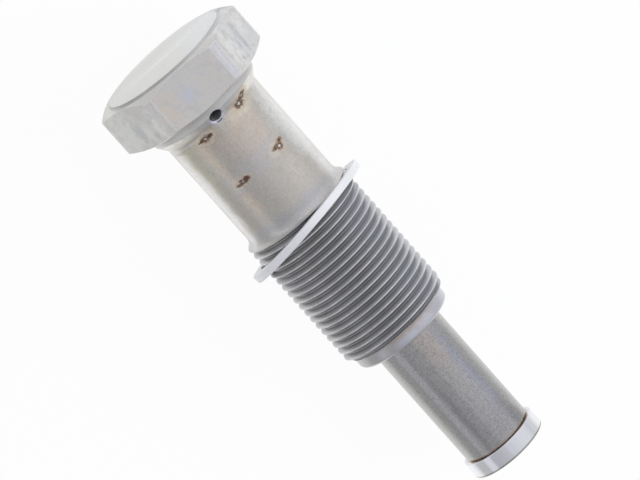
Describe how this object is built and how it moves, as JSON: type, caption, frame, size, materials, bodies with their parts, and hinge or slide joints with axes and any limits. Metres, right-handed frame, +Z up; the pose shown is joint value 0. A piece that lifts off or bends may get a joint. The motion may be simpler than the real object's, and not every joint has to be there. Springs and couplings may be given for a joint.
{
  "type": "timing chain tensioner",
  "caption": "Screw-in hydraulic chain tensioner: hexagon head, plain shank, threaded end, loose sealing washer and a sprung plunger with a thrust cap and a ball check valve inside.",
  "frame": {"origin": "on the tensioner's axis, in the plane of the seat under the hexagon head", "axes": "+X along the axis from the head to the plunger's tip, +Z up with the tensioner lying on one flat of its hexagon"},
  "size_m": [0.0925, 0.0302, 0.0268],
  "materials": {
    "tempered_steel": "pale turned steel with faint straw and blue temper tints",
    "washer_aluminium": "bright stamped aluminium with fine scratches",
    "plunger_steel": "ground brownish grey steel",
    "cap_steel": "bright turned hardened steel",
    "spring_steel": "drawn spring wire",
    "valve_steel": "ground steel",
    "ball_steel": "polished bearing steel",
    "cage_sheet": "yellow passivated pressed sheet"
  },
  "bodies": {
    "body": {"housing": "tempered_steel", "sealing_washer": "washer_aluminium", "plunger_spring": "spring_steel", "valve_seat": "valve_steel", "valve_spring": "spring_steel", "valve_cage": "cage_sheet"},
    "plunger_assembly": {"plunger": "plunger_steel", "thrust_cap": "cap_steel", "retaining_ring": "spring_steel"},
    "check_ball": {"valve_ball": "ball_steel"}
  },
  "joints": [
    {"name": "plunger_slide", "type": "slide", "parent": "body", "child": "plunger_assembly", "axis": [1, 0, 0], "range_m": [-0.018, 0], "stiffness_N_per_m": 1500, "springref_m": 0.03, "deforming": ["plunger_spring"]},
    {"name": "check_ball_lift", "type": "slide", "parent": "body", "child": "check_ball", "axis": [1, 0, 0], "range_m": [0, 0.0006], "stiffness_N_per_m": 50, "springref_m": -0.001, "deforming": ["valve_spring"]}
  ]
}
